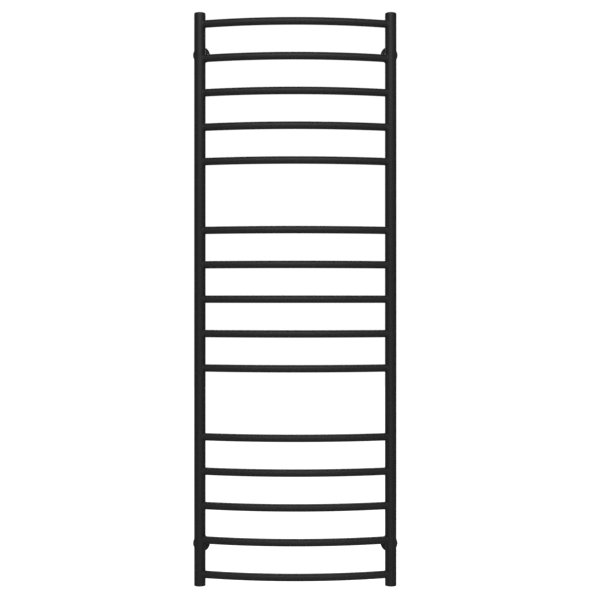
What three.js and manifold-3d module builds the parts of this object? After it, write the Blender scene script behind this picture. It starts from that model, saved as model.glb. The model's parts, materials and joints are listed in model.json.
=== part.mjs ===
// Hot-water towel rail: bowed tubes between two upright posts, hung on a wall by four telescopic
// brackets. Millimetres, +Z up. The wall is the plane y = 0, the front faces -Y, and the origin
// is the centre of the four fixing points.

import * as THREE from 'three';
import { mergeVertices } from 'three/addons/utils/BufferGeometryUtils.js';
import Module from 'manifold-3d';

// Overall sizes
const railHeight = 1500;
const postSpacing = 500; // centre line to centre line
const wallToPost = 60; // wall to the posts' centre lines
const bow = 40; // how far the middle of a bar stands in front of its ends

// Tubes
const postDiameter = 30;
const postWall = 1.5;
const barDiameter = 20;
const barWall = 1.25;
const waterHoleRadius = 7; // from a post into each bar

// Ladder layout: groups of bars one pitch apart, with one bar left out between groups
const groupCount = 3;
const barsPerGroup = 5;
const endToBar = 30; // post end to the nearest bar's centre line
const bracketPastBar = 20; // second bar from the end to the bracket, towards the end

// Top caps
const capHeight = 5;
const capEdgeRadius = 3;
const capSpigot = 4;

// Threaded bushes in the lower post ends
const pipeBoreRadius = 9.3;
const pipeBushLength = 18;

// Air vents on the backs of the posts
const ventBelowSpigot = 2; // cap's spigot to the top of the bush
const ventBushRadius = 7;
const ventBushProud = 3; // past the post's back
const ventBushInside = 2.5; // past the post's bore
const ventThreadRadius = 4.86;
const ventThreadLength = 9;
const ventSealThickness = 1.5;
const ventCollarRadius = 7.4;
const ventCollarThickness = 3;
const ventNoseRadius = 4;
const ventNoseLength = 2;
const ventOutletRadius = 0.9;
const bleedScrewRadius = 2.5;
const bleedHeadRadius = 3.2;
const bleedHeadHeight = 1.6;
const bleedSlotWidth = 0.9;
const bleedTip = 1;

// Brackets
const stemRadius = 8;
const stemWall = 2.5;
const stemTipToWall = 14;
const socketWall = 2.7;
const socketToPost = 12; // socket mouth to the back of the post
const flangeRadius = 19;
const flangeThickness = 3;
const rosetteRadius = 22.5;
const rosetteDepth = 8;
const rosetteSkin = 2;
const rosetteEdge = 1.5;
const rosetteRimWidth = 2;
const rosetteRimStep = 0.8;
const grubRadius = 2.5;
const grubLength = 4;
const grubFromMouth = 4; // socket mouth to the set screw's centre line
const grubKeyRadius = 1.45;
const grubKeyDepth = 2;
const screwRadius = 2.5;
const screwHeadRadius = 4.75;
const screwHeadTopRadius = 3.6;
const screwHeadHeight = 3.2;
const screwInWall = 40;
const screwPoint = 6;
const screwRecess = 1.8;
const screwRecessWidth = 1.1;

// Clearances
const meshGap = 0.3; // between touching pieces
const runningGap = 0.1; // round a piece that turns
const slidingGap = 0.3; // round a piece that slides
const screwHoleGap = 0.4;
const overrun = 1; // how far a shape runs into what it is joined to, or past what it cuts

// Facets round each kind of piece
const postSides = 16;
const barSides = 12;
const barBoreSides = 8;
const barSteps = 8;
const bracketSides = 16;
const smallSides = 10;
const hexagonSides = 6;

// Sizes that follow
const halfSpacing = postSpacing / 2;
const bowRadius = (halfSpacing * halfSpacing + bow * bow) / (2 * bow);
const bowHalfAngle = Math.asin(halfSpacing / bowRadius);
const postRadius = postDiameter / 2;
const postBoreRadius = postRadius - postWall;
const barRadius = barDiameter / 2;
const topEnd = railHeight / 2;
const pitchCount = groupCount * (barsPerGroup - 1) + (groupCount - 1) * 2;
const pitch = (railHeight - 2 * endToBar) / pitchCount;
const bracketHeight = topEnd - endToBar - pitch + bracketPastBar;
const capBase = topEnd - capHeight;
const ventHeight = capBase - capSpigot - ventBelowSpigot - ventBushRadius;
const socketMouth = wallToPost - postRadius - socketToPost;
const socketBoreRadius = stemRadius + slidingGap;
const socketRadius = socketBoreRadius + socketWall;

const wasm = await Module();
wasm.setup();

/** A manifold solid of a closed three.js geometry. */
function solidOf(geometry) {
  const bare = geometry.clone();
  bare.deleteAttribute('normal');
  bare.deleteAttribute('uv');
  const merged = mergeVertices(bare, 1e-4);
  const corners = merged.index.array;
  const triVerts = [];
  for (let i = 0; i < corners.length; i += 3) {
    const [a, b, c] = corners.subarray(i, i + 3);
    const flat = a === b || b === c || c === a;
    if (!flat) triVerts.push(a, b, c);
  }
  const mesh = new wasm.Mesh({
    numProp: 3,
    vertProperties: merged.attributes.position.array,
    triVerts: Uint32Array.from(triVerts),
  });
  return new wasm.Manifold(mesh);
}

/** A three.js geometry of a manifold solid. */
function geometryOf(solid) {
  const mesh = solid.getMesh();
  const geometry = new THREE.BufferGeometry();
  geometry.setAttribute('position', new THREE.BufferAttribute(mesh.vertProperties, 3));
  geometry.setIndex(new THREE.BufferAttribute(mesh.triVerts, 1));
  geometry.computeVertexNormals();
  return geometry;
}

/** The first geometry with the others cut away. */
function cut(body, ...tools) {
  let solid = solidOf(body);
  for (const tool of tools) {
    solid = solid.subtract(solidOf(tool));
  }
  return geometryOf(solid);
}

/** A profile of [radius, height] points turned about the Y axis, drawn upwards on its outside. */
function turned(profile, sides) {
  const points = profile.map(([radius, height]) => new THREE.Vector2(radius, height));
  return new THREE.LatheGeometry(points, sides);
}

/** A tube about the Y axis from the lower to the upper height. */
function ring(innerRadius, outerRadius, low, high, sides) {
  const profile = [
    [innerRadius, low],
    [outerRadius, low],
    [outerRadius, high],
    [innerRadius, high],
    [innerRadius, low],
  ];
  return turned(profile, sides);
}

/** A solid round bar about the Y axis from the lower to the upper height. */
function disc(radius, low, high, sides) {
  const profile = [
    [0, low],
    [radius, low],
    [radius, high],
    [0, high],
  ];
  return turned(profile, sides);
}

/** Turns a geometry made about the Y axis so that it stands along Z. */
function upright(geometry) {
  return geometry.rotateX(Math.PI / 2);
}

/** The radius of a facetted hole whose flats clear a round piece by the gap. */
function holeRadius(radius, gap, sides) {
  return (radius + gap) / Math.cos(Math.PI / sides);
}

/** Quarter-round profile points from the outer wall up to the flat end. */
function roundedEdge(radius, height, edge) {
  const steps = 3;
  const points = [];
  for (let i = 0; i <= steps; i += 1) {
    const angle = (i / steps) * (Math.PI / 2);
    const inward = radius - edge + edge * Math.cos(angle);
    const upward = height - edge + edge * Math.sin(angle);
    points.push([inward, upward]);
  }
  return points;
}

/** The centre line of a bar: an arc from one post's centre line to the other's. */
class BowedLine extends THREE.Curve {
  getPoint(t) {
    const angle = (2 * t - 1) * bowHalfAngle;
    const back = bowRadius * (1 - Math.cos(angle));
    return new THREE.Vector3(bowRadius * Math.sin(angle), back - wallToPost - bow, 0);
  }
}

/** A round rod of the given radius along a bar's centre line. */
function bowedRod(radius, sides) {
  const corners = [];
  for (let i = 0; i < sides; i += 1) {
    const angle = (i / sides) * 2 * Math.PI;
    corners.push(new THREE.Vector2(radius * Math.cos(angle), radius * Math.sin(angle)));
  }
  const section = new THREE.Shape(corners);
  return new THREE.ExtrudeGeometry(section, { steps: barSteps, extrudePath: new BowedLine() });
}

/** The space that a post takes up, with the mesh gap round it, where it crosses another piece. */
function postSpace(x, y) {
  const reach = 2 * barDiameter;
  const space = upright(disc(postRadius + meshGap, -reach, reach, postSides));
  return space.translate(x, y, 0);
}

/** Heights of the bars' centre lines, from the top down. */
function barHeights() {
  const heights = [];
  const groupStep = barsPerGroup + 1;
  for (let group = 0; group < groupCount; group += 1) {
    for (let bar = 0; bar < barsPerGroup; bar += 1) {
      heights.push(topEnd - endToBar - (group * groupStep + bar) * pitch);
    }
  }
  return heights;
}

const finishes = {
  powderCoat: { color: 0x1b1b1c, roughness: 0.45, metalness: 0.1 },
  zinc: { color: 0xb9bcbe, roughness: 0.35, metalness: 1 },
  nickel: { color: 0xc9c6be, roughness: 0.25, metalness: 1 },
  brass: { color: 0xb5924c, roughness: 0.3, metalness: 1 },
  rubber: { color: 0x161616, roughness: 0.9, metalness: 0 },
};

const rail = new THREE.Group();

/** Adds a named piece with its own material to a group. */
function addPiece(group, name, geometry, finish) {
  const piece = new THREE.Mesh(geometry, new THREE.MeshStandardMaterial(finishes[finish]));
  piece.name = name;
  group.add(piece);
  return piece;
}

/** One bar: a bowed tube whose ends are coped to the posts. */
function barTube() {
  return cut(
    bowedRod(barRadius, barSides),
    bowedRod(barRadius - barWall, barBoreSides),
    postSpace(-halfSpacing, -wallToPost),
    postSpace(halfSpacing, -wallToPost),
  );
}

/** The space of a water hole, from a post's centre line out along the end of a bar. */
function waterHole(side) {
  const hole = disc(waterHoleRadius, 0, 2 * postRadius, barBoreSides);
  return hole.rotateZ(side * (Math.PI / 2 + bowHalfAngle));
}

/** One post, about its own centre line: a tube with a water hole at each bar and a vent hole. */
function postTube(side) {
  const tube = upright(ring(postBoreRadius, postRadius, -topEnd, capBase - meshGap, postSides));
  const waterHoles = barHeights().map((height) => waterHole(side).translate(0, 0, height));
  const holeSize = holeRadius(ventBushRadius, meshGap, bracketSides);
  const ventHole = disc(holeSize, postRadius / 2, 2 * postRadius, bracketSides);
  return cut(tube, ...waterHoles, ventHole.translate(0, 0, ventHeight));
}

/** The closed top end of a post, with a spigot inside the tube. */
function topCap() {
  const spigotRadius = postBoreRadius - meshGap;
  const profile = [
    [0, -capSpigot],
    [spigotRadius, -capSpigot],
    [spigotRadius, 0],
    [postRadius, 0],
    ...roundedEdge(postRadius, capHeight, capEdgeRadius),
    [0, capHeight],
  ];
  return geometryOf(solidOf(upright(turned(profile, postSides))));
}

/** The threaded bush that a valve screws into, flush with the post's lower end. */
function pipeBush() {
  const outerRadius = postBoreRadius - meshGap;
  return geometryOf(solidOf(upright(ring(pipeBoreRadius, outerRadius, 0, pipeBushLength, postSides))));
}

/** Adds one post and what is fixed to it. */
function addPost(name, side) {
  const post = new THREE.Group();
  post.position.set(side * halfSpacing, -wallToPost, 0);
  rail.add(post);
  addPiece(post, `${name}_post`, postTube(side), 'powderCoat');
  addPiece(post, `${name}_top_cap`, topCap(), 'powderCoat').position.z = capBase;
  addPiece(post, `${name}_pipe_bush`, pipeBush(), 'zinc').position.z = -topEnd;
  addVent(post, name);
}

/** Adds an air vent, along Y at the back of a post: welded bush, seal, vent body, bleed screw. */
function addVent(post, name) {
  const vent = new THREE.Group();
  vent.position.z = ventHeight;
  post.add(vent);

  const bushFace = postRadius + ventBushProud;
  const sealFace = bushFace + meshGap;
  const collarFace = sealFace + ventSealThickness + meshGap;
  const noseFace = collarFace + ventCollarThickness;
  const noseEnd = noseFace + ventNoseLength;
  const threadEnd = bushFace - ventThreadLength;
  const bushBore = ventThreadRadius + meshGap;
  const bushEnd = postBoreRadius - ventBushInside;
  const bush = ring(bushBore, ventBushRadius, bushEnd, bushFace, bracketSides);
  addPiece(vent, `${name}_vent_bush`, geometryOf(solidOf(bush)), 'powderCoat');

  const seal = ring(bushBore, ventBushRadius, sealFace, sealFace + ventSealThickness, bracketSides);
  addPiece(vent, `${name}_vent_seal`, geometryOf(solidOf(seal)), 'rubber');

  const thread = disc(ventThreadRadius, threadEnd, collarFace + overrun, bracketSides);
  const collar = disc(ventCollarRadius, collarFace, noseFace, hexagonSides);
  const nose = disc(ventNoseRadius, noseFace - overrun, noseEnd, bracketSides);
  const boreSize = holeRadius(bleedScrewRadius, runningGap, smallSides);
  const bore = disc(boreSize, threadEnd - overrun, noseEnd + overrun, smallSides);
  const outlet = upright(disc(ventOutletRadius, -2 * ventNoseRadius, 0, smallSides));
  outlet.translate(0, noseFace + ventNoseLength / 2, 0);
  const body = solidOf(thread).add(solidOf(collar)).add(solidOf(nose));
  const bored = body.subtract(solidOf(bore)).subtract(solidOf(outlet));
  addPiece(vent, `${name}_vent_plug`, geometryOf(bored), 'nickel');

  const headFace = noseEnd + meshGap;
  const screwProfile = [
    [0, threadEnd],
    [bleedScrewRadius, threadEnd + bleedTip],
    [bleedScrewRadius, headFace],
    [bleedHeadRadius, headFace],
    [bleedHeadRadius, headFace + bleedHeadHeight],
    [0, headFace + bleedHeadHeight],
  ];
  const slot = new THREE.BoxGeometry(4 * bleedHeadRadius, bleedHeadHeight, bleedSlotWidth);
  slot.translate(0, headFace + bleedHeadHeight, 0);
  const screw = cut(turned(screwProfile, smallSides), slot);
  addPiece(vent, `${name}_vent_screw`, screw, 'brass');
}

/** The tube welded on a post's back, which slides in the wall socket. */
function stemTube() {
  const tube = ring(stemRadius - stemWall, stemRadius, -wallToPost, -stemTipToWall, bracketSides);
  return cut(tube, postSpace(0, -wallToPost));
}

/** The flanged socket on the wall, with a hole for its screw and one for the set screw. */
function wallSocket(grubPlace) {
  const profile = [
    [holeRadius(screwRadius, screwHoleGap, bracketSides), 0],
    [holeRadius(screwRadius, screwHoleGap, bracketSides), -flangeThickness],
    [socketBoreRadius, -flangeThickness],
    [socketBoreRadius, -socketMouth],
    [socketRadius, -socketMouth],
    [socketRadius, -flangeThickness],
    [flangeRadius, -flangeThickness],
    [flangeRadius, 0],
    [holeRadius(screwRadius, screwHoleGap, bracketSides), 0],
  ];
  const grubHole = upright(
    disc(holeRadius(grubRadius, runningGap, smallSides), -2 * socketRadius, 0, smallSides),
  );
  return cut(turned(profile, bracketSides), grubHole.translate(0, grubPlace, 0));
}

/** The round cover over the flange: a shallow cup with a stepped rim, open to the wall. */
function rosetteCup() {
  const holeSize = holeRadius(socketRadius, slidingGap, bracketSides);
  const lipDepth = rosetteDepth - rosetteRimStep;
  const faceRadius = rosetteRadius - rosetteRimWidth;
  const profile = [
    [rosetteRadius - rosetteSkin, 0],
    [rosetteRadius - rosetteSkin, -(rosetteDepth - rosetteSkin)],
    [holeSize, -(rosetteDepth - rosetteSkin)],
    [holeSize, -rosetteDepth],
    [faceRadius, -rosetteDepth],
    [faceRadius, -lipDepth],
    [rosetteRadius - rosetteEdge / 2, -lipDepth],
    [rosetteRadius, -(lipDepth - rosetteEdge)],
    [rosetteRadius, 0],
    [rosetteRadius - rosetteSkin, 0],
  ];
  return geometryOf(solidOf(turned(profile, bracketSides)));
}

/** The set screw, pointing up at the stem, with a hexagon key hole in its lower end. */
function grubScrew() {
  const tip = -(stemRadius + meshGap);
  const end = tip - grubLength;
  const screw = upright(disc(grubRadius, end, tip, smallSides));
  const keyHole = upright(disc(grubKeyRadius, end - overrun, end + grubKeyDepth, hexagonSides));
  return cut(screw, keyHole);
}

/** The pan-head wall screw, with a cross recess. */
function wallScrew() {
  const seat = -(flangeThickness + meshGap);
  const headEnd = seat - screwHeadHeight;
  const profile = [
    [0, headEnd],
    [screwHeadTopRadius, headEnd],
    [screwHeadRadius, seat - screwHeadHeight / 2],
    [screwHeadRadius, seat],
    [screwRadius, seat],
    [screwRadius, screwInWall - screwPoint],
    [0, screwInWall],
  ];
  const across = new THREE.BoxGeometry(screwHeadRadius, 2 * screwRecess, screwRecessWidth);
  const along = new THREE.BoxGeometry(screwRecessWidth, 2 * screwRecess, screwHeadRadius);
  across.translate(0, headEnd, 0);
  along.translate(0, headEnd, 0);
  return cut(turned(profile, smallSides), across, along);
}

/** Adds one bracket on the wall, behind a post. */
function addBracket(name, x, z) {
  const bracket = new THREE.Group();
  bracket.position.set(x, 0, z);
  rail.add(bracket);
  const grubPlace = -(socketMouth - grubFromMouth);
  addPiece(bracket, `stem_${name}`, stemTube(), 'powderCoat');
  addPiece(bracket, `wall_socket_${name}`, wallSocket(grubPlace), 'powderCoat');
  addPiece(bracket, `rosette_${name}`, rosetteCup(), 'powderCoat');
  addPiece(bracket, `grub_screw_${name}`, grubScrew(), 'zinc').position.y = grubPlace;
  addPiece(bracket, `wall_screw_${name}`, wallScrew(), 'zinc');
}

addPost('left', -1);
addPost('right', 1);

const bar = barTube();
barHeights().forEach((height, index) => {
  const number = String(index + 1).padStart(2, '0');
  addPiece(rail, `bar_${number}`, bar, 'powderCoat').position.z = height;
});

addBracket('top_left', -halfSpacing, bracketHeight);
addBracket('top_right', halfSpacing, bracketHeight);
addBracket('bottom_left', -halfSpacing, -bracketHeight);
addBracket('bottom_right', halfSpacing, -bracketHeight);

export default rail;
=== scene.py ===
"""A ladder towel rail in satin black powder coat, hung on a wall by four telescopic brackets.

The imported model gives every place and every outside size. This script makes the fine surfaces,
the finishes, the light and the camera. Lengths are in metres, the front faces -Y and Z is up.
"""

import json
import logging
from collections.abc import Callable, Mapping, Sequence
from dataclasses import dataclass
from enum import Enum
from functools import cache
from math import acos, asin, atan2, cos, pi, radians, sin, sqrt, tau

import bmesh
import bpy
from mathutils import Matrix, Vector


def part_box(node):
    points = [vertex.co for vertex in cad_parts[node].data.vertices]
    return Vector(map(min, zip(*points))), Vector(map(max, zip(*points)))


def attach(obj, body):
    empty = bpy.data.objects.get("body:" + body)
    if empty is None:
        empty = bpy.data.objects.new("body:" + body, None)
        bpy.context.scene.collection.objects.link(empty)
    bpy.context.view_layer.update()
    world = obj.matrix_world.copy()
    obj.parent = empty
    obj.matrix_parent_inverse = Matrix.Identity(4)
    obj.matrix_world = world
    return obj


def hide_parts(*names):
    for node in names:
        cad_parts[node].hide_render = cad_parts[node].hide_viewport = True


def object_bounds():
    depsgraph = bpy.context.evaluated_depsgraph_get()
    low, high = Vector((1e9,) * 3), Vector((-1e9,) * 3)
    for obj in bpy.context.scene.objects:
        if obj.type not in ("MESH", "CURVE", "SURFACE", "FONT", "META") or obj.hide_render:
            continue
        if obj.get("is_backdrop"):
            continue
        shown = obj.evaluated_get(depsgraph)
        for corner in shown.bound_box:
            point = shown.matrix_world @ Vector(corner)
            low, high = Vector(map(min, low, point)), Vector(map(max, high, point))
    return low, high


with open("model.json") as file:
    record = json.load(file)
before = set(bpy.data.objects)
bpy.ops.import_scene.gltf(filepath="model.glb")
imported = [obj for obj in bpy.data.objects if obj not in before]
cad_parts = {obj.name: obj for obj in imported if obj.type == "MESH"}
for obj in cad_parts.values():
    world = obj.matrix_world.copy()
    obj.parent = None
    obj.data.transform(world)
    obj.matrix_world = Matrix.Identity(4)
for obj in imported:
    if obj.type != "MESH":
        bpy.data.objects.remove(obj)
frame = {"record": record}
log = logging.getLogger("towel_rail")

MM = 0.001
SHARP = radians(38)  # edges that turn more than this stay sharp
RIGHT = Vector((1, 0, 0))
FORWARD = Vector((0, -1, 0))
UP = Vector((0, 0, 1))

Triple = tuple[float, float, float]
Ring = list[Vector]
Outline = Callable[[float], float]
Profile = Sequence[tuple[float | Outline, float]]
Edge = Callable[[float, float], Vector]


class Slot(Enum):
    """The record's material slots."""

    POWDER_COAT = "powder_coat"
    ZINC = "zinc_plate"
    NICKEL = "nickel_plate"
    BRASS = "brass"
    RUBBER = "seal_rubber"


class Side(Enum):
    """Left or right, as seen from the front."""

    LEFT = "left"
    RIGHT = "right"


class Corner(Enum):
    """The four brackets."""

    TOP_LEFT = "top_left"
    TOP_RIGHT = "top_right"
    BOTTOM_LEFT = "bottom_left"
    BOTTOM_RIGHT = "bottom_right"


# ---- Shader nodes ----


@dataclass(frozen=True)
class Signal:
    """A number in a shader, which Python's arithmetic adds Math nodes to."""

    tree: "Shader"
    socket: bpy.types.NodeSocket

    def _math(self, operation: str, first: "Term", second: "Term") -> "Signal":
        """The result of a Math node on two terms."""
        settings = {"operation": operation}
        node = self.tree.add("ShaderNodeMath", settings, {0: first, 1: second})
        return Signal(self.tree, node.outputs[0])

    def __add__(self, other: "Term") -> "Signal":
        """The sum."""
        return self._math("ADD", self, other)

    def __radd__(self, other: "Term") -> "Signal":
        """The sum, with the number first."""
        return self._math("ADD", other, self)

    def __sub__(self, other: "Term") -> "Signal":
        """The difference."""
        return self._math("SUBTRACT", self, other)

    def __rsub__(self, other: "Term") -> "Signal":
        """The difference, with the number first."""
        return self._math("SUBTRACT", other, self)

    def __mul__(self, other: "Term") -> "Signal":
        """The product."""
        return self._math("MULTIPLY", self, other)

    def __rmul__(self, other: "Term") -> "Signal":
        """The product, with the number first."""
        return self._math("MULTIPLY", other, self)


Term = Signal | float
Colour = Triple
Tone = Colour | bpy.types.NodeSocket
BLACK = (0.0, 0.0, 0.0)
WHITE = (1.0, 1.0, 1.0)


@dataclass
class Shader:
    """The node tree of a material or of the world."""

    tree: bpy.types.NodeTree

    def add(
        self,
        kind: str,
        settings: Mapping[str, object] | None = None,
        inputs: Mapping[str | int, object] | None = None,
    ) -> bpy.types.Node:
        """Adds any node.

        Args:
            kind: The node's type name.
            settings: Its properties, set before its sockets, or a ramp's stops.
            inputs: The value or link of each socket, by name or number.

        Returns:
            The node.
        """
        node = self.tree.nodes.new(kind)
        for name, value in (settings or {}).items():
            if name == "stops":
                self._set_stops(node.color_ramp, value)
            else:
                setattr(node, name, value)
        for name, value in (inputs or {}).items():
            self.feed(node.inputs[name], value)
        return node

    def feed(self, socket: bpy.types.NodeSocket, value: object) -> None:
        """Links a socket, or sets its value.

        Args:
            socket: The input socket.
            value: A signal, an output socket, or a plain value.
        """
        if isinstance(value, Signal):
            self.tree.links.new(value.socket, socket)
        elif isinstance(value, bpy.types.NodeSocket):
            self.tree.links.new(value, socket)
        elif isinstance(value, tuple) and len(value) == 3 and socket.type == "RGBA":
            socket.default_value = (*value, 1.0)
        else:
            socket.default_value = value

    def _set_stops(self, ramp: bpy.types.ColorRamp, stops: Sequence[tuple[float, Colour]]) -> None:
        """Gives a colour ramp its stops.

        Args:
            ramp: The ramp.
            stops: Each stop's place and colour, in order.
        """
        while len(ramp.elements) < len(stops):
            ramp.elements.new(1.0)
        for element, (place, colour) in zip(ramp.elements, stops, strict=True):
            element.position = place
            element.color = (*colour, 1.0)

    def place(self) -> bpy.types.NodeSocket:
        """The point on the object, in the object's own metres."""
        return self.add("ShaderNodeTexCoord").outputs["Object"]

    def noise(self, size: float, detail: float = 2.0, stretch: Triple = (1, 1, 1)) -> Signal:
        """Smooth noise from 0 to 1.

        Args:
            size: How large its blotches are.
            detail: How many finer octaves it has.
            stretch: How much denser it is along each axis.

        Returns:
            The noise.
        """
        mapping = self.add("ShaderNodeMapping", None, {"Vector": self.place(), "Scale": stretch})
        inputs = {"Vector": mapping.outputs[0], "Scale": 1.0 / size, "Detail": detail}
        return Signal(self, self.add("ShaderNodeTexNoise", None, inputs).outputs[0])

    def specks(self, size: float, share: float) -> Signal:
        """Small round dots, scattered one to a cell.

        Args:
            size: How far apart they are.
            share: Each dot's radius, as a share of that.

        Returns:
            1 on the dots and 0 between them, with soft edges.
        """
        inputs = {"Vector": self.place(), "Scale": 1.0 / size}
        cells = self.add("ShaderNodeTexVoronoi", None, inputs)
        stops = ((share, WHITE), (2 * share, BLACK))
        ramp = self.add("ShaderNodeValToRGB", {"stops": stops}, {0: cells.outputs["Distance"]})
        return Signal(self, ramp.outputs[0])

    def blend(
        self, low: Tone, high: Tone, amount: Signal | bpy.types.NodeSocket
    ) -> bpy.types.NodeSocket:
        """The colour between low, where the amount is 0, and high, where it is 1."""
        settings = {"data_type": "RGBA", "clamp_factor": True}
        return self.add("ShaderNodeMix", settings, {0: amount, 6: low, 7: high}).outputs[2]

    def bump(self, height: Signal, depth: float, strength: float) -> bpy.types.NodeSocket:
        """The normal of a relief from 0 to 1 that is so deep, with so much of it showing."""
        inputs = {"Height": height, "Distance": depth, "Strength": strength}
        return self.add("ShaderNodeBump", None, inputs).outputs[0]


# ---- Finishes ----


def fresh_material(name: str) -> tuple[bpy.types.Material, Shader, bpy.types.Node]:
    """A new material with one Principled shader.

    Args:
        name: The material's name.

    Returns:
        The material, its shader tree and its Principled node.
    """
    material = bpy.data.materials.new(name)
    material.use_nodes = True
    return material, Shader(material.node_tree), material.node_tree.nodes["Principled BSDF"]


@dataclass(frozen=True)
class PowderCoat:
    """Satin black powder coat: orange peel and a fine grain, with the odd nib of powder in it."""

    dark: Colour = (0.012, 0.012, 0.012)
    light: Colour = (0.022, 0.022, 0.022)
    nib: Colour = (0.034, 0.034, 0.034)
    roughness: float = 0.5
    roughness_spread: float = 0.16
    peel_size: float = 3.0 * MM
    grain_size: float = 0.35 * MM
    cloud_size: float = 45 * MM
    nib_size: float = 3.5 * MM
    nib_share: float = 0.06
    grain_part: float = 0.6
    relief: float = 0.3 * MM
    relief_parts: Triple = (0.8, 0.12, 0.08)

    def build(self) -> bpy.types.Material:
        """Makes the material.

        Returns:
            The material.
        """
        material, shader, surface = fresh_material("satin_black_powder_coat")
        peel = shader.noise(self.peel_size, 1.0)
        grain = shader.noise(self.grain_size, 2.0)
        cloud = shader.noise(self.cloud_size, 3.0)
        nibs = shader.specks(self.nib_size, self.nib_share)
        patches = self.grain_part * grain + (1 - self.grain_part) * cloud
        tone = shader.blend(self.dark, self.light, patches)
        shader.feed(surface.inputs["Base Color"], shader.blend(tone, self.nib, nibs))
        spread = (patches - 0.5) * self.roughness_spread
        shader.feed(surface.inputs["Roughness"], self.roughness + spread)
        peel_part, grain_part, nib_part = self.relief_parts
        height = peel_part * peel + grain_part * grain + nib_part * nibs
        shader.feed(surface.inputs["Normal"], shader.bump(height, self.relief, 1.0))
        return material


@dataclass(frozen=True)
class PlatedMetal:
    """A bright plated or turned metal, with fine tool marks, dull patches and a tinted bloom."""

    name: str
    dull: Colour
    bright: Colour
    bloom: Colour
    roughness: float
    streak: Triple = (1.0, 9.0, 1.0)
    streak_size: float = 1.2 * MM
    cloud_size: float = 6 * MM
    cloud_part: float = 0.75
    cloud_spread: float = 0.25
    streak_spread: float = 0.15
    relief: float = 0.02 * MM
    relief_strength: float = 0.4

    def build(self) -> bpy.types.Material:
        """Makes the material.

        Returns:
            The material.
        """
        material, shader, surface = fresh_material(self.name)
        surface.inputs["Metallic"].default_value = 1.0
        streaks = shader.noise(self.streak_size, 3.0, self.streak)
        cloud = shader.noise(self.cloud_size, 4.0)
        stops = ((0.25, self.dull), (0.5, self.bright), (0.75, self.bloom))
        age = self.cloud_part * cloud + (1 - self.cloud_part) * streaks
        ramp = shader.add("ShaderNodeValToRGB", {"stops": stops}, {0: age})
        shader.feed(surface.inputs["Base Color"], ramp.outputs[0])
        clouded = self.roughness + (cloud - 0.5) * self.cloud_spread
        roughness = clouded + (streaks - 0.5) * self.streak_spread
        shader.feed(surface.inputs["Roughness"], roughness)
        normal = shader.bump(streaks, self.relief, self.relief_strength)
        shader.feed(surface.inputs["Normal"], normal)
        return material


@dataclass(frozen=True)
class SealRubber:
    """Matt black rubber with a faint bloom."""

    black: Colour = (0.012, 0.012, 0.013)
    bloom: Colour = (0.03, 0.03, 0.031)
    roughness: float = 0.7
    roughness_spread: float = 0.2
    cloud_size: float = 2.5 * MM
    grain_size: float = 0.2 * MM
    relief: float = 0.03 * MM
    relief_strength: float = 0.5

    def build(self) -> bpy.types.Material:
        """Makes the material.

        Returns:
            The material.
        """
        material, shader, surface = fresh_material("black_seal_rubber")
        cloud = shader.noise(self.cloud_size, 4.0)
        shader.feed(surface.inputs["Base Color"], shader.blend(self.black, self.bloom, cloud))
        roughness = self.roughness + self.roughness_spread * cloud
        shader.feed(surface.inputs["Roughness"], roughness)
        grain = shader.noise(self.grain_size, 2.0)
        normal = shader.bump(grain, self.relief, self.relief_strength)
        shader.feed(surface.inputs["Normal"], normal)
        return material


FINISHES: dict[Slot, PowderCoat | PlatedMetal | SealRubber] = {
    Slot.POWDER_COAT: PowderCoat(),
    Slot.ZINC: PlatedMetal(
        "bright_zinc", (0.34, 0.35, 0.36), (0.6, 0.61, 0.62), (0.56, 0.59, 0.68), 0.34
    ),
    Slot.NICKEL: PlatedMetal(
        "bright_nickel", (0.42, 0.4, 0.36), (0.66, 0.63, 0.57), (0.7, 0.68, 0.64), 0.24
    ),
    Slot.BRASS: PlatedMetal(
        "turned_brass", (0.36, 0.24, 0.09), (0.62, 0.44, 0.17), (0.68, 0.52, 0.26), 0.3
    ),
    Slot.RUBBER: SealRubber(),
}


@cache
def material_for(slot: Slot) -> bpy.types.Material:
    """The slot's material, made when it is first asked for."""
    return FINISHES[slot].build()


# ---- Mesh tools ----


@dataclass(frozen=True)
class Axis:
    """A line that pieces are turned about."""

    origin: Vector
    along: Vector
    across: Vector

    def at(self, radius: float, angle: float, height: float) -> Vector:
        """The point at a radius, an angle and a height."""
        side = self.along.cross(self.across)
        spoke = self.across * cos(angle) + side * sin(angle)
        return self.origin + self.along * height + spoke * radius

    def ring(self, outline: Outline | float, height: float, count: int) -> Ring:
        """A loop of points round the axis.

        Args:
            outline: The radius, or a function from an angle to the radius.
            height: The loop's height.
            count: How many points it has.

        Returns:
            The points.
        """
        points = []
        for i in range(count):
            angle = tau * i / count
            radius = outline(angle) if callable(outline) else outline
            points.append(self.at(radius, angle, height))
        return points


def hexagon(inradius: float) -> Outline:
    """The outline of a hexagon with its flats at the sides, this far from its centre."""
    step = tau / 6
    return lambda angle: inradius / cos((angle + step / 2) % step - step / 2)


def nut(inradius: float, depth: float) -> Outline:
    """The outline of a hexagon nut, whose corners are turned off towards its faces.

    Args:
        inradius: Its centre to the middle of a side.
        depth: How far below its face the outline lies.

    Returns:
        The radius at each angle.
    """
    full = hexagon(inradius)
    slope = 1.7  # outwards for each step down
    return lambda angle: min(full(angle), inradius + slope * depth)


def cross(reach: float, half_width: float) -> Outline:
    """The outline of a cross recess.

    Args:
        reach: Its centre to the end of an arm.
        half_width: Half an arm's width.

    Returns:
        The radius at each angle.
    """
    tiny = 1e-6  # keeps the divisions finite

    def radius(angle: float) -> float:
        """The farther of the two arms' edges."""
        c = max(abs(cos(angle)), tiny)
        s = max(abs(sin(angle)), tiny)
        return max(min(reach / c, half_width / s), min(reach / s, half_width / c))

    return radius


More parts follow.
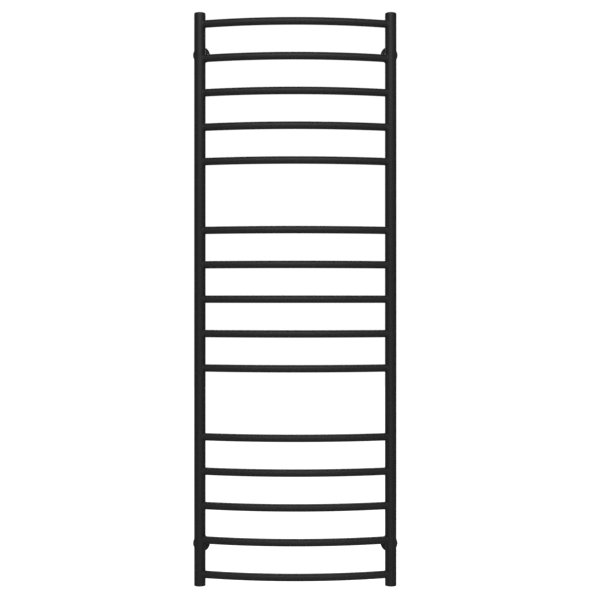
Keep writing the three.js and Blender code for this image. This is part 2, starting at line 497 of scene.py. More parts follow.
def softened(profile: Profile, size: float, closed: bool = False, steps: int = 3) -> Profile:
    """Rounds a profile's corners.

    Args:
        profile: The corners, as radius and height.
        size: How far the rounding reaches along each side.
        closed: Whether the last corner joins the first.
        steps: How many pieces each rounding has.

    Returns:
        The rounded profile.
    """
    most = 0.45  # of a side, for one corner
    result = []
    count = len(profile)
    for i, place in enumerate(profile):
        if not closed and i in (0, count - 1):
            result.append(place)
            continue
        corner = Vector(place)
        back = Vector(profile[i - 1]) - corner
        ahead = Vector(profile[(i + 1) % count]) - corner
        reach = min(size, most * back.length, most * ahead.length)
        first = back.normalized() * reach
        last = ahead.normalized() * reach
        for k in range(steps + 1):
            t = k / steps
            bent = corner + first * (1 - t) ** 2 + last * t**2
            result.append((bent.x, bent.y))
    return result


def carve(piece: bpy.types.Object, cutter: bpy.types.Object) -> None:
    """Cuts one object out of another.

    Args:
        piece: What is cut.
        cutter: What is cut away. It is removed afterwards.
    """
    cutting = piece.modifiers.new("carve", "BOOLEAN")
    cutting.object = cutter
    cutting.solver = "EXACT"
    graph = bpy.context.evaluated_depsgraph_get()
    mesh = bpy.data.meshes.new_from_object(piece.evaluated_get(graph))
    piece.modifiers.clear()
    piece.data = mesh
    bpy.data.objects.remove(cutter)
    mesh.set_sharp_from_angle(angle=SHARP)


@dataclass
class Shell:
    """A closed surface through rings that all have the same number of points."""

    rings: Sequence[Ring]
    around: bool = False  # the last ring joins the first; otherwise both ends are closed
    cut: "Shell | None" = None  # what is cut out of it

    @classmethod
    def turned(cls, axis: Axis, profile: Profile, count: int, hollow: bool = False) -> "Shell":
        """A surface turned from radii and heights, which form a loop if it is hollow."""
        return cls([axis.ring(radius, height, count) for radius, height in profile], hollow)

    def _skin(self) -> tuple[list[Vector], list[tuple[int, ...]]]:
        """Works out the surface.

        Returns:
            Its points and its faces.
        """
        points = [point for ring in self.rings for point in ring]
        faces = []
        rows = len(self.rings)
        count = len(self.rings[0])
        for row in range(rows if self.around else rows - 1):
            near = row * count
            far = (row + 1) % rows * count
            for i in range(count):
                j = (i + 1) % count
                faces.append((near + i, near + j, far + j, far + i))
        for row in () if self.around else (0, rows - 1):
            middle = len(points)
            points.append(sum(self.rings[row], Vector()) / count)
            first = row * count
            faces += [(first + i, first + (i + 1) % count, middle) for i in range(count)]
        return points, faces

    def build(self, name: str) -> bpy.types.Object:
        """Makes the object.

        Args:
            name: The object's name.

        Returns:
            The object, in the scene.
        """
        points, faces = self._skin()
        mesh = bpy.data.meshes.new(name)
        mesh.from_pydata([tuple(p) for p in points], [], faces)
        work = bmesh.new()
        work.from_mesh(mesh)
        bmesh.ops.recalc_face_normals(work, faces=work.faces)
        work.to_mesh(mesh)
        work.free()
        mesh.polygons.foreach_set("use_smooth", [True] * len(mesh.polygons))
        mesh.set_sharp_from_angle(angle=SHARP)
        piece = bpy.data.objects.new(name, mesh)
        bpy.context.collection.objects.link(piece)
        if self.cut:
            carve(piece, self.cut.build(f"{name}_cutter"))
        return piece


@dataclass(frozen=True)
class Thread:
    """A screw thread."""

    minor: float
    major: float
    pitch: float
    rings_per_turn: int = 6
    flank: float = 1.5  # how steep its sides are; more than 1 leaves flat crests and roots

    def rings(self, axis: Axis, low: float, high: float, count: int) -> list[Ring]:
        """The thread's rings, fading out at both ends.

        Args:
            axis: The thread's axis.
            low: Where it starts.
            high: Where it ends.
            count: How many points each ring has.

        Returns:
            The rings, in order.
        """
        steps = max(2, round((high - low) / self.pitch * self.rings_per_turn))
        result = []
        for i in range(steps + 1):
            height = low + (high - low) * i / steps
            fade = min(1.0, (height - low) / self.pitch, (high - height) / self.pitch)
            result.append(axis.ring(self._outline(height, fade), height, count))
        return result

    def _outline(self, height: float, fade: float) -> Outline:
        """The thread's outline at a height.

        Args:
            height: The height.
            fade: How much of the thread's depth is cut there.

        Returns:
            The radius at each angle.
        """
        depth = (self.major - self.minor) * fade
        root = (self.flank - 1.0) / 2

        def radius(angle: float) -> float:
            """A ridge that climbs one pitch in a turn."""
            phase = (height / self.pitch - angle / tau) % 1.0
            ridge = 1.0 - abs(2.0 * phase - 1.0)
            crest = min(1.0, max(0.0, self.flank * ridge - root))
            return self.minor + depth * crest

        return radius


# ---- Where things are ----


@dataclass(frozen=True)
class Node:
    """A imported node: its box, body and slot."""

    name: str

    @property
    def low(self) -> Vector:
        """Its lowest corner."""
        return Vector(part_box(self.name)[0])

    @property
    def high(self) -> Vector:
        """Its highest corner."""
        return Vector(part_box(self.name)[1])

    @property
    def centre(self) -> Vector:
        """The middle of its box."""
        return (self.low + self.high) / 2

    @property
    def size(self) -> Vector:
        """Its size along X, Y and Z."""
        return self.high - self.low

    @property
    def body(self) -> str:
        """The body that it belongs to."""
        bodies = frame["record"]["behaviour"]["bodies"]
        return next(body for body, nodes in bodies.items() if self.name in nodes)

    @property
    def slot(self) -> Slot:
        """Its material slot."""
        parts = frame["record"]["subparts"]
        return Slot(next(p["material_slot"] for p in parts if p["node"] == self.name))


def fit(name: str, shell: Shell, node: Node) -> None:
    """Makes a fine piece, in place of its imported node.

    Args:
        name: The piece's name.
        shell: Its surface.
        node: The node that it stands for.
    """
    piece = shell.build(name)
    piece.data.materials.clear()
    piece.data.materials.append(material_for(node.slot))
    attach(piece, node.body)
    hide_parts(node.name)
    log.info("%s stands for %s, %d faces", piece.name, node.name, len(piece.data.polygons))


# ---- Posts and welds ----


@dataclass(frozen=True)
class PostSkin:
    """The outside of a post, which other tubes are welded to."""

    x: float
    y: float
    radius: float

    def bearing(self, point: Vector) -> float:
        """The angle of a point, seen from the post's centre line."""
        return atan2(point.y - self.y, point.x - self.x)

    def unroll(self, point: Vector, middle: float) -> Vector:
        """Where a point lies on the skin, cut opposite the middle bearing and laid flat."""
        turn = (self.bearing(point) - middle + pi) % tau - pi
        return Vector(((middle + turn) * self.radius, point.z))

    def roll(self, flat: Vector, lift: float = 0.0) -> Vector:
        """The point on the skin, or lifted off it, that a flat point stands for."""
        angle = flat.x / self.radius
        reach = self.radius + lift
        return Vector((self.x + reach * cos(angle), self.y + reach * sin(angle), flat.y))


@dataclass(frozen=True)
class Weld:
    """A painted fillet weld between a post and a tube that meets it."""

    width: float = 1.7 * MM
    buried: float = 0.8 * MM
    steps: int = 7
    ripple: float = 0.05
    ripples: int = 30

    def rings(self, skin: PostSkin, edge: Edge, count: int) -> list[Ring]:
        """The fillet's rings, from inside the post out to the tube.

        Args:
            skin: The post's outside.
            edge: From an angle round the tube and a distance from the post, the point on the tube.
            count: How many points each ring has.

        Returns:
            The rings, in order.
        """
        angles = [tau * i / count for i in range(count)]
        seam = [edge(angle, 0.0) for angle in angles]
        facing = skin.bearing(sum(seam, Vector()) / count)
        flat = [skin.unroll(point, facing) for point in seam]
        middle = sum(flat, Vector((0.0, 0.0))) / count
        feet = []
        for i, angle in enumerate(angles):
            run = flat[(i + 1) % count] - flat[i - 1]
            out = Vector((run.y, -run.x)).normalized()
            if out.dot(flat[i] - middle) < 0:
                out.negate()
            width = self.width * (1 + self.ripple * sin(self.ripples * angle))
            feet.append(flat[i] + out * width)
        rings = [[skin.roll(foot, -self.buried) for foot in feet]]
        for step in range(self.steps + 1):
            t = step / self.steps
            ring = []
            for i, angle in enumerate(angles):
                foot = skin.roll(feet[i]) * (1 - t) ** 2
                shoulder = edge(angle, self.width) * t**2
                ring.append(foot + seam[i] * (2 * t * (1 - t)) + shoulder)
            rings.append(ring)
        return rings


@dataclass
class Post:
    """An upright tube with its cap and pipe bush."""

    side: Side
    count: int = 96
    wall: float = 1.5 * MM
    edge: float = 0.35 * MM
    cap_edge: float = 3.0 * MM
    cap_edge_steps: int = 10
    cap_dome: float = 0.25 * MM
    cap_core: float = 0.2
    cap_shares: tuple[float, ...] = (0.75, 0.5, 0.25, 0.05)
    pipe_thread: Thread = Thread(9.3 * MM, 10.3 * MM, 1.814 * MM)
    pipe_lead: float = 0.3 * MM
    pipe_lead_depth: float = 1.2 * MM
    bush_inset: float = 0.1 * MM
    bush_chamfer: float = 0.3 * MM

    def __post_init__(self) -> None:
        """Reads where the post stands."""
        self.tube = Node(f"{self.side.value}_post")
        self.cap = Node(f"{self.side.value}_top_cap")
        self.bush = Node(f"{self.side.value}_pipe_bush")
        place = self.tube.centre
        self.skin = PostSkin(place.x, place.y, self.tube.size.x / 2)
        self.inner = self.skin.radius - self.wall
        self.axis = Axis(Vector((place.x, place.y, 0.0)), UP, RIGHT)

    def build(self) -> None:
        """Makes the tube, cap and bush."""
        side = self.side.value
        fit(f"{side}_post_tube", self._tube(), self.tube)
        fit(f"{side}_post_cap", self._cap(), self.cap)
        fit(f"{side}_pipe_bush_thread", self._bush(), self.bush)

    def _tube(self) -> Shell:
        """The tube, open below.

        Returns:
            Its surface.
        """
        outer = self.skin.radius
        low = self.tube.low.z
        high = self.tube.high.z
        profile = [(self.inner, high), (self.inner, low), (outer, low), (outer, high)]
        return Shell.turned(self.axis, softened(profile, self.edge), self.count, hollow=True)

    def _cap(self) -> Shell:
        """The cap, ground flush with the tube, with a rounded edge and a slight crown.

        Returns:
            Its surface.
        """
        outer = self.skin.radius
        top = self.cap.high.z
        low = self.cap.low.z
        seam = self.tube.high.z
        flat = outer - self.cap_edge
        profile = [(self.cap_core * self.inner, low), (self.inner, low)]
        profile += [(self.inner, seam), (outer, seam)]
        for i in range(self.cap_edge_steps + 1):
            angle = pi / 2 * i / self.cap_edge_steps
            rise = self.cap_edge * (sin(angle) - 1) - self.cap_dome
            profile.append((flat + self.cap_edge * cos(angle), top + rise))
        for share in self.cap_shares:
            profile.append((flat * share, top - self.cap_dome * share * share))
        return Shell.turned(self.axis, profile, self.count)

    def _bush(self) -> Shell:
        """The bush, with a lead-in and a thread in its bore.

        Returns:
            Its surface.
        """
        low = self.bush.low.z
        high = self.bush.high.z
        end = low + self.bush_inset
        profile = [
            (self.pipe_thread.major + self.pipe_lead, end),
            (self.inner - self.bush_chamfer, end),
            (self.inner, end + self.bush_chamfer),
            (self.inner, high),
        ]
        outside = [self.axis.ring(radius, height, self.count) for radius, height in profile]
        start = low + self.pipe_lead_depth
        inside = self.pipe_thread.rings(self.axis, start, high, self.count)
        return Shell([*outside, *reversed(inside)], around=True)


# ---- Bars ----


@dataclass(frozen=True)
class Bow:
    """The arc that every bar's centre line follows, seen from above, between the posts."""

    left: PostSkin
    right: PostSkin
    sagitta: float

    @property
    def half_span(self) -> float:
        """Half the distance between the posts."""
        return (self.right.x - self.left.x) / 2

    @property
    def radius(self) -> float:
        """The arc's radius."""
        return (self.half_span**2 + self.sagitta**2) / (2 * self.sagitta)

    @property
    def half_angle(self) -> float:
        """The angle from the arc's middle to a post."""
        return asin(self.half_span / self.radius)

    def point(self, angle: float, out: float, height: float) -> Vector:
        """The point at an angle along the arc, a distance in front of it, and a height."""
        middle = (self.left.x + self.right.x) / 2
        centre = self.left.y - self.sagitta + self.radius
        reach = self.radius + out
        return Vector((middle + reach * sin(angle), centre - reach * cos(angle), height))

    def landing(self, out: float) -> float:
        """The angle where a line in front of the arc meets the right post's skin."""
        reach = self.radius + out
        top = self.radius**2 + reach**2 - self.right.radius**2
        return self.half_angle - acos(top / (2 * self.radius * reach))


@dataclass
class Bar:
    """A bowed bar with its two welds, as one continuous skin."""

    number: int
    bow: Bow
    weld: Weld = Weld()
    count: int = 48
    steps: int = 56

    def __post_init__(self) -> None:
        """Reads where the bar lies."""
        self.node = Node(f"bar_{self.number:02d}")
        self.height = self.node.centre.z
        self.radius = self.node.size.z / 2

    def build(self) -> None:
        """Makes the bar."""
        fit(f"{self.node.name}_tube", Shell(self._rings()), self.node)

    def _edge(self, hand: int) -> Edge:
        """The bar's skin near one post.

        Args:
            hand: -1 for the left post, 1 for the right.

        Returns:
            From an angle round the bar and a distance from the post, the point on its skin.
        """

        def edge(angle: float, distance: float) -> Vector:
            """The point on one straight line of the skin."""
            out = self.radius * sin(angle)
            along = self.bow.landing(out) - distance / (self.bow.radius + out)
            return self.bow.point(hand * along, out, self.height + self.radius * cos(angle))

        return edge

    def _rings(self) -> list[Ring]:
        """The bar's skin, with its welds.

        Returns:
            The rings from inside the left post to inside the right one.
        """
        left = self.weld.rings(self.bow.left, self._edge(-1), self.count)
        right = self.weld.rings(self.bow.right, self._edge(1), self.count)
        middle = []
        for step in range(1, self.steps):
            share = 2 * step / self.steps - 1
            middle.append([self._skin(tau * i / self.count, share) for i in range(self.count)])
        return [*left, *middle, *reversed(right)]

    def _skin(self, angle: float, share: float) -> Vector:
        """A point between the welds.

        Args:
            angle: The angle round the bar.
            share: -1 at the left weld's edge, 1 at the right weld's.

        Returns:
            The point.
        """
        out = self.radius * sin(angle)
        along = self.bow.landing(out) - self.weld.width / (self.bow.radius + out)
        return self.bow.point(share * along, out, self.height + self.radius * cos(angle))


# ---- Air vents ----


def back_edge(skin: PostSkin, radius: float, height: float) -> Edge:
    """The skin of a straight tube that leaves the back of a post.

    Args:
        skin: The post's outside.
        radius: The tube's radius.
        height: The height of its centre line.

    Returns:
        From an angle round the tube and a distance from the post, the point on its skin.
    """

    def edge(angle: float, distance: float) -> Vector:
        """The point on one straight line of the skin."""
        x = radius * cos(angle)
        y = sqrt(skin.radius**2 - x * x)
        return Vector((skin.x + x, skin.y + y + distance, height + radius * sin(angle)))

    return edge


def back_axis(skin: PostSkin, height: float) -> Axis:
    """The axis of a tube on the back of a post, with its angles counted as back_edge does."""
    origin = Vector((skin.x, skin.y, height))
    return Axis(origin, FORWARD, RIGHT)


@dataclass
class AirVent:
    """The air vent on the back of a post: bush, O-ring, vent body and bleed screw."""

    side: Side
    skin: PostSkin
    weld: Weld = Weld(width=1.6 * MM, steps=5, ripples=22)
    count: int = 48
    edge: float = 0.3 * MM
    bore: float = 5.0 * MM
    seal_count: int = 16
    seal_squeeze: float = 0.25 * MM
    seal_inset: float = 0.2 * MM
    plug_count: int = 72
    chamfer: tuple[float, ...] = (0.0, 0.15 * MM, 0.3 * MM, 0.45 * MM, 0.6 * MM)
    nose: float = 4.0 * MM
    nose_length: float = 2.0 * MM
    screw_bore: float = 2.6 * MM
    outlet: float = 0.8 * MM
    outlet_place: float = 0.55  # of the nose's length
    outlet_reach: tuple[float, float] = (3.0 * MM, 5.0 * MM)
    outlet_count: int = 20
    shank: float = 2.4 * MM
    shank_length: float = 4.0 * MM
    head_sink: float = 0.2 * MM
    head_edge: float = 0.35 * MM
    head_core: float = 0.3 * MM
    slot_half_width: float = 0.45 * MM
    slot_depth: float = 0.9 * MM
    slot_overrun: float = 1.0 * MM

    def __post_init__(self) -> None:
        """Reads where the vent's pieces are."""
        side = self.side.value
        self.bush = Node(f"{side}_vent_bush")
        self.seal = Node(f"{side}_vent_seal")
        self.plug = Node(f"{side}_vent_plug")
        self.screw = Node(f"{side}_vent_screw")
        self.axis = back_axis(self.skin, self.bush.centre.z)

    def _out(self, y: float) -> float:
        """The height on the vent's axis of a place along Y; it falls towards the wall."""
        return self.skin.y - y

    def build(self) -> None:
        """Makes the vent's pieces."""
        side = self.side.value
        fit(f"{side}_vent_boss", self._bush(), self.bush)
        fit(f"{side}_vent_o_ring", self._seal(), self.seal)
        fit(f"{side}_vent_body", self._plug(), self.plug)
        fit(f"{side}_bleed_screw", self._screw(), self.screw)

    def _bush(self) -> Shell:
        """The bush with its weld on the post.

        Returns:
            Its surface.
        """
        radius = self.bush.size.x / 2
        face = self._out(self.bush.high.y)
        edge = back_edge(self.skin, radius, self.axis.origin.z)
        rings = self.weld.rings(self.skin, edge, self.count)
        profile = [(radius, face + self.edge), (radius - self.edge, face), (self.bore, face)]
        rings += [self.axis.ring(r, h, self.count) for r, h in profile]
        return Shell(rings)

    def _seal(self) -> Shell:
        """The O-ring, squeezed a little flat.

        Returns:
            Its surface.
        """
        thick = self.seal.size.y / 2 + self.seal_squeeze
        outer = self.seal.size.x / 2 - self.seal_inset
        middle = self._out(self.seal.centre.y)
        profile = []
        for i in range(self.seal_count):
            angle = tau * i / self.seal_count
            profile.append((outer - thick + thick * cos(angle), middle + thick * sin(angle)))
        return Shell.turned(self.axis, profile, self.count, hollow=True)

    def _plug(self) -> Shell:
        """The vent body: a chamfered hexagon, a nose with an outlet, and a bore for the screw.

        Returns:
            Its surface.
        """
        end = self._out(self.plug.high.y)
        face = end + self.nose_length
        back = self._out(self.seal.high.y)
        flats = self.plug.size.x / 2
        profile = [
            (self.bore, back),
            *((nut(flats, trim), back - trim) for trim in self.chamfer),
            *((nut(flats, trim), face + trim) for trim in reversed(self.chamfer)),
            (self.nose + self.edge, face),
            (self.nose, face - self.edge),
            (self.nose, end + self.edge),
            (self.nose - self.edge, end),
            (self.screw_bore, end),
            (self.screw_bore, back),
        ]
        body = Shell.turned(self.axis, profile, self.plug_count, hollow=True)
        start = self.axis.at(0.0, 0.0, end + self.outlet_place * self.nose_length)
        hole = [(self.outlet, reach) for reach in self.outlet_reach]
        body.cut = Shell.turned(Axis(start, -UP, RIGHT), hole, self.outlet_count)
        return body

    def _screw(self) -> Shell:
        """The bleed screw, with a slot across its head.

        Returns:
            Its surface.
        """
        end = self._out(self.screw.high.y)
        under = self._out(self.plug.high.y) - self.head_sink
        radius = self.screw.size.z / 2
        profile = [(self.shank, under + self.shank_length), (self.shank, under)]
        profile += [(radius, under), (radius, end), (self.head_core, end)]
        screw = Shell.turned(self.axis, softened(profile, self.head_edge), self.count)
        corners = []
        for depth in (end - self.slot_overrun, end + self.slot_depth):
            place = self.axis.at(0.0, 0.0, depth)
            reach = RIGHT * 2 * radius
            half = UP * self.slot_half_width
            ring = [place - reach - half, place + reach - half]
            ring += [place + reach + half, place - reach + half]
            corners.append(ring)
        screw.cut = Shell(corners)
        return screw


# ---- Wall brackets ----


@dataclass(frozen=True)
class SetScrew:
    """A set screw with a hexagon key hole."""

    count: int = 48
    thread_depth: float = 0.4 * MM
    pitch: float = 0.8 * MM
    tip_inset: float = 0.8 * MM
    tip_chamfer: float = 0.3 * MM
    end_inset: float = 0.5 * MM
    end_chamfer: float = 0.2 * MM
    key_flats: float = 1.25 * MM
    key_depth: float = 1.8 * MM

    def shell(self, axis: Axis, radius: float, tip: float, end: float) -> Shell:
        """Its surface.

        Args:
            axis: Its axis.
            radius: The outside radius of its thread.
            tip: The height of its tip.
            end: The height of its key end.

        Returns:
            The surface.
        """
        thread = Thread(radius - self.thread_depth, radius, self.pitch)
        low = tip + self.tip_chamfer
        high = end - self.end_chamfer
        key = hexagon(self.key_flats)
        rings = [
            axis.ring(radius - self.tip_inset, tip, self.count),
            *thread.rings(axis, low, high, self.count),
            axis.ring(radius - self.end_inset, end, self.count),
            axis.ring(key, end, self.count),
            axis.ring(key, end - self.key_depth, self.count),
        ]
        return Shell(rings)


@dataclass(frozen=True)
class WallScrew:
    """A pan-head wall screw with a cross recess and a coarse thread."""

    count: int = 48
    thread: Thread = Thread(1.6 * MM, 2.5 * MM, 2.2 * MM)
    thread_end: float = -2.0 * MM
    point: tuple[tuple[float, float], ...] = ((0.15 * MM, 0.0), (0.9 * MM, 2.5 * MM))
    point_length: float = 3.0 * MM
    shank: float = 2.0 * MM
    head_edge: float = 0.2 * MM
    head_side: tuple[float, float] = (0.3 * MM, 1.4 * MM)
    head_bend: tuple[float, float] = (0.92, 2.3 * MM)  # share of its radius, height on its seat
    head_rim: tuple[float, float] = (0.72, 0.15 * MM)  # share of its radius, depth below its top
    head_top: float = 0.56
    recess_reach: tuple[float, float] = (2.4 * MM, 1.5 * MM)  # at its mouth and at its floor
    recess_half_width: tuple[float, float] = (0.55 * MM, 0.45 * MM)
    recess_depth: float = 1.9 * MM

    def shell(self, axis: Axis, radius: float, tip: float, seat: float, top: float) -> Shell:
        """Its surface.

        Args:
            axis: Its axis, with the wall's face at height 0.
            radius: Its head's radius.
            tip: The height of its point.
            seat: The height of its head's underside.
            top: The height of its head's top.

        Returns:
            The surface.
        """
        mouth, floor = map(cross, self.recess_reach, self.recess_half_width)
        bend, bend_rise = self.head_bend
        rim, rim_drop = self.head_rim
        head = [
            (self.shank, 0.0),
            (self.shank, seat),
            (radius - self.head_edge, seat),
            *((radius, seat + rise) for rise in self.head_side),
            (bend * radius, seat + bend_rise),
            (rim * radius, top - rim_drop),
            (self.head_top * radius, top),
            (mouth, top),
            (floor, top - self.recess_depth),
        ]
        start = tip + self.point_length
        rings = [
            *(axis.ring(width, tip + rise, self.count) for width, rise in self.point),
            *self.thread.rings(axis, start, self.thread_end, self.count),
            *(axis.ring(outline, height, self.count) for outline, height in head),
        ]
        return Shell(rings)


@dataclass
class Bracket:
    """One telescopic bracket, from the back of a post to the wall."""

    corner: Corner
    skin: PostSkin
    weld: Weld = Weld(width=2.2 * MM, steps=6, ripples=24)
    count: int = 64
    stem_wall: float = 2.5 * MM
    stem_edge: float = 0.5 * MM
    bore_depth: float = 20.0 * MM
    sliding_gap: float = 0.25 * MM
    flange: float = 3.0 * MM
    screw_hole: float = 2.9 * MM
    socket_fillet: float = 1.0 * MM
    socket_edge: float = 0.5 * MM
    grub_proud: float = 0.9 * MM
    grub_gap: float = 0.1 * MM
    grub_hole_start: float = 4.0 * MM
    grub_hole_count: int = 32
    rim: float = 2.0 * MM
    rim_step: float = 0.8 * MM
    rim_groove: tuple[float, float] = (0.4 * MM, 0.5 * MM)
    rosette_wall: float = 2.0 * MM
    rosette_edge: float = 0.6 * MM
    rosette_count: int = 96
    head_gap: float = 0.1 * MM
    set_screw: SetScrew = SetScrew()
    wall_screw: WallScrew = WallScrew()

    def __post_init__(self) -> None:
        """Reads where the bracket's pieces are."""
        name = self.corner.value
        self.stem = Node(f"stem_{name}")
        self.socket = Node(f"wall_socket_{name}")
        self.rosette = Node(f"rosette_{name}")
        self.grub = Node(f"grub_screw_{name}")
        self.screw = Node(f"wall_screw_{name}")
        place = self.socket.centre
        self.axis = Axis(Vector((place.x, 0.0, place.z)), FORWARD, RIGHT)
        grub_place = Vector((self.grub.centre.x, self.grub.centre.y, place.z))
        self.grub_axis = Axis(grub_place, -UP, RIGHT)
        self.grub_radius = self.grub.size.y / 2
        self.grub_end = place.z - self.grub.low.z
        self.stem_radius = self.stem.size.x / 2
        self.bore = self.stem_radius + self.sliding_gap
        self.tube_radius = self.grub_end - self.grub_proud

    def build(self) -> None:
        """Makes the bracket's pieces."""
        corner = self.corner.value
        fit(f"bracket_stem_{corner}", self._stem(), self.stem)
        fit(f"bracket_socket_{corner}", self._socket(), self.socket)
        fit(f"bracket_rosette_{corner}", self._rosette(), self.rosette)
        fit(f"bracket_set_screw_{corner}", self._grub(), self.grub)
        fit(f"bracket_wall_screw_{corner}", self._screw(), self.screw)

    def _stem(self) -> Shell:
        """The stem, welded on the post and open at its tip.

        Returns:
            Its surface.
        """
        radius = self.stem_radius
        inner = radius - self.stem_wall
        tip = -self.stem.high.y
        edge = back_edge(self.skin, radius, self.axis.origin.z)
        rings = self.weld.rings(self.skin, edge, self.count)
        profile = [(radius, tip + self.stem_edge), (radius - self.stem_edge, tip)]
        profile += [(inner, tip), (inner, tip + self.bore_depth)]
        rings += [self.axis.ring(r, h, self.count) for r, h in profile]
        return Shell(rings)

    def _socket(self) -> Shell:
        """The flanged socket, with the hole for its set screw.

        Returns:
            Its surface.
        """
        mouth = -self.socket.low.y
        flange_radius = self.socket.size.x / 2
        tube = self.tube_radius
        profile = [
            (self.screw_hole, 0.0),
            (flange_radius, 0.0),
            (flange_radius, self.flange),
            (tube + self.socket_fillet, self.flange),
            (tube, self.flange + self.socket_fillet),
            (tube, mouth),
            (self.bore, mouth),
            (self.bore, self.flange),
            (self.screw_hole, self.flange),
        ]
        rounded = softened(profile, self.socket_edge, closed=True)
        socket = Shell.turned(self.axis, rounded, self.count, hollow=True)
        radius = self.grub_radius + self.grub_gap
        hole = [(radius, self.grub_hole_start), (radius, 2 * tube)]
        socket.cut = Shell.turned(self.grub_axis, hole, self.grub_hole_count)
        return socket

    def _rosette(self) -> Shell:
        """The round cover: a shallow cup whose face stands in a thin stepped rim.

        Returns:
            Its surface.
        """
        outer = self.rosette.size.x / 2
        depth = self.rosette.size.y
        inner = outer - self.rosette_wall
        floor = depth - self.rosette_wall
        hole = self.tube_radius + self.sliding_gap
        face = outer - self.rim
        lip = depth - self.rim_step
        groove_width, groove_depth = self.rim_groove
        profile = [
            (inner, 0.0),
            (inner, floor),
            (hole, floor),
            (hole, depth),
            (face, depth),
            (face, lip - groove_depth),
            (face + groove_width, lip - groove_depth),
            (face + groove_width, lip),
            (outer, lip),
            (outer, 0.0),
        ]
        rounded = softened(profile, self.rosette_edge, closed=True)
        return Shell.turned(self.axis, rounded, self.rosette_count, hollow=True)

    def _grub(self) -> Shell:
        """The set screw in the socket."""
        tip = self.axis.origin.z - self.grub.high.z
        return self.set_screw.shell(self.grub_axis, self.grub_radius, tip, self.grub_end)

    def _screw(self) -> Shell:
        """The wall screw, with its head on the flange.

        Returns:
            Its surface.
        """
        tip = -self.screw.high.y
        top = -self.screw.low.y
        seat = self.flange + self.head_gap
        return self.wall_screw.shell(self.axis, self.screw.size.z / 2, tip, seat, top)


# ---- Studio ----


@dataclass(frozen=True)
class SoftBox:
    """A plain area light."""

    name: str
    place: Triple
    width: float
    height: float
    power: float

    def build(self) -> None:
        """Hangs the light and points it at the origin."""
        data = bpy.data.lights.new(self.name, "AREA")
        data.shape = "RECTANGLE"
        data.size = self.width
        data.size_y = self.height
        data.energy = self.power
        light = bpy.data.objects.new(self.name, data)
        light.location = self.place
        light.rotation_euler = (-light.location).to_track_quat("-Z", "Y").to_euler()
        bpy.context.collection.objects.link(light)


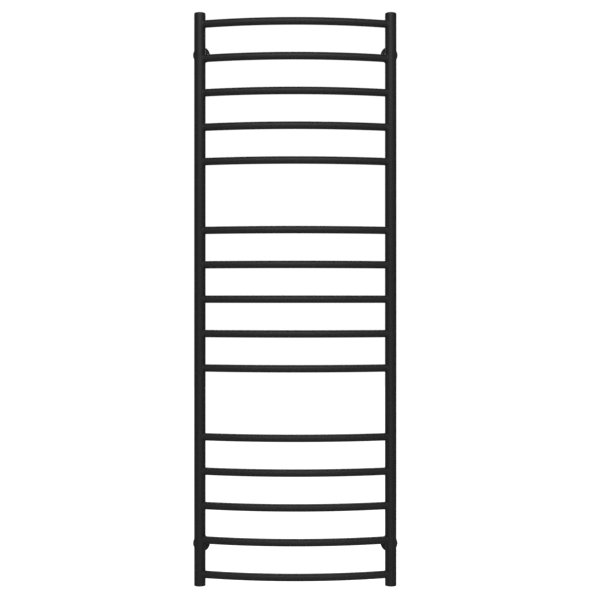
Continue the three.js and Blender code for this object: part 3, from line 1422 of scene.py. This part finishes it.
@dataclass
class Studio:
    """The pale floor, the lights, the surroundings and the camera."""

    camera_distance: float = 3.15
    focal_length: float = 72.13
    shift_x: float = 0.00787
    shift_y: float = -0.0014
    floor_drop: float = 0.5
    floor_reach: float = 14.0
    floor_sides: int = 64
    floor_grey: float = 0.6
    floor_roughness: float = 0.9
    backdrop: float = 1.02
    surround_low: float = 0.06
    surround_high: float = 0.2
    lights: tuple[SoftBox, ...] = (
        SoftBox("key", (0.0, -2.3, 2.1), 2.2, 1.0, 22.0),
        SoftBox("upper_fill", (0.0, -2.9, 1.3), 2.2, 0.9, 7.0),
        SoftBox("front", (0.0, -3.6, 0.3), 1.2, 2.0, 4.0),
        SoftBox("left", (-2.4, -2.2, 0.4), 1.2, 2.2, 2.2),
        SoftBox("right", (2.4, -2.2, 0.4), 1.2, 2.2, 3.2),
        SoftBox("low", (0.0, -2.6, -1.0), 2.2, 0.6, 4.5),
        SoftBox("back", (0.0, 3.0, 1.9), 2.4, 1.2, 42.0),
    )

    def build(self, centre: Vector, low: float) -> None:
        """Sets up everything round the object.

        Args:
            centre: The middle of the posts' centre lines.
            low: The object's lowest point.
        """
        self._camera(centre)
        self._floor(low - self.floor_drop)
        self._surround()
        for light in self.lights:
            light.build()
        bpy.context.scene.view_settings.view_transform = "Standard"

    def _camera(self, centre: Vector) -> None:
        """Puts the camera straight in front, at the middle of the rail's height.

        Args:
            centre: What it looks at.
        """
        data = bpy.data.cameras.new("camera")
        data.lens = self.focal_length
        data.shift_x = self.shift_x
        data.shift_y = self.shift_y
        data.clip_end = 100.0
        camera = bpy.data.objects.new("camera", data)
        camera.location = centre + FORWARD * self.camera_distance
        camera.rotation_euler = (pi / 2, 0.0, 0.0)
        bpy.context.collection.objects.link(camera)
        bpy.context.scene.camera = camera

    def _floor(self, height: float) -> None:
        """Lays a wide round floor that can be seen through from below.

        Args:
            height: The floor's height.
        """
        rim = Axis(UP * height, UP, RIGHT).ring(self.floor_reach, 0.0, self.floor_sides)
        mesh = bpy.data.meshes.new("floor")
        mesh.from_pydata([tuple(p) for p in rim], [], [tuple(range(self.floor_sides))])
        floor = bpy.data.objects.new("floor", mesh)
        bpy.context.collection.objects.link(floor)
        mesh.materials.append(self._floor_material())
        floor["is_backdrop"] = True

    def _floor_material(self) -> bpy.types.Material:
        """Pale matt floor paint, lit enough to read as white.

        Returns:
            The material.
        """
        material, shader, surface = fresh_material("floor_paint")
        shader.feed(surface.inputs["Base Color"], (self.floor_grey,) * 3)
        surface.inputs["Roughness"].default_value = self.floor_roughness
        surface.inputs["Emission Strength"].default_value = self.backdrop
        path = shader.add("ShaderNodeLightPath").outputs["Is Camera Ray"]
        shader.feed(surface.inputs["Emission Color"], shader.blend(BLACK, WHITE, path))
        clear = shader.add("ShaderNodeBsdfTransparent")
        backfacing = shader.add("ShaderNodeNewGeometry").outputs["Backfacing"]
        inputs = {0: backfacing, 1: surface.outputs[0], 2: clear.outputs[0]}
        mix = shader.add("ShaderNodeMixShader", None, inputs)
        output = material.node_tree.nodes["Material Output"]
        shader.feed(output.inputs["Surface"], mix.outputs[0])
        return material

    def _surround(self) -> None:
        """A white backdrop, with soft light that is stronger from above."""
        world = bpy.data.worlds.new("surround")
        bpy.context.scene.world = world
        world.use_nodes = True
        shader = Shader(world.node_tree)
        background = world.node_tree.nodes["Background"]
        place = shader.add("ShaderNodeTexCoord").outputs["Generated"]
        parts = shader.add("ShaderNodeSeparateXYZ", None, {0: place})
        up = Signal(shader, parts.outputs["Z"])
        middle = (self.surround_high + self.surround_low) / 2
        swing = (self.surround_high - self.surround_low) / 2
        soft = middle + up * swing
        path = Signal(shader, shader.add("ShaderNodeLightPath").outputs["Is Camera Ray"])
        shader.feed(background.inputs["Color"], WHITE)
        shader.feed(background.inputs["Strength"], path * self.backdrop + (1.0 - path) * soft)


# ---- The rail ----


@dataclass
class TowelRail:
    """The whole rail."""

    bar_count: int = 15

    def build(self) -> Vector:
        """Makes every piece.

        Returns:
            The middle of the posts' centre lines.
        """
        left = Post(Side.LEFT)
        right = Post(Side.RIGHT)
        for post in (left, right):
            post.build()
            AirVent(post.side, post.skin).build()
        first = Node("bar_01")
        sagitta = left.skin.y - (first.low.y + first.size.z / 2)
        bow = Bow(left.skin, right.skin, sagitta)
        for number in range(1, self.bar_count + 1):
            Bar(number, bow).build()
        for corner in Corner:
            post = left if corner in (Corner.TOP_LEFT, Corner.BOTTOM_LEFT) else right
            Bracket(corner, post.skin).build()
        return Vector(((left.skin.x + right.skin.x) / 2, left.skin.y, 0.0))


def plain(box: Sequence[Vector]) -> list[list[float]]:
    """A box as plain lists of numbers."""
    return [[float(value) for value in corner] for corner in box]


def main() -> None:
    """Makes the rail and its studio."""
    logging.basicConfig(level=logging.INFO, format="%(message)s")
    packed = plain(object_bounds())
    centre = TowelRail().build()
    Studio().build(centre, packed[0][2])


if __name__ == "__main__":
    main()
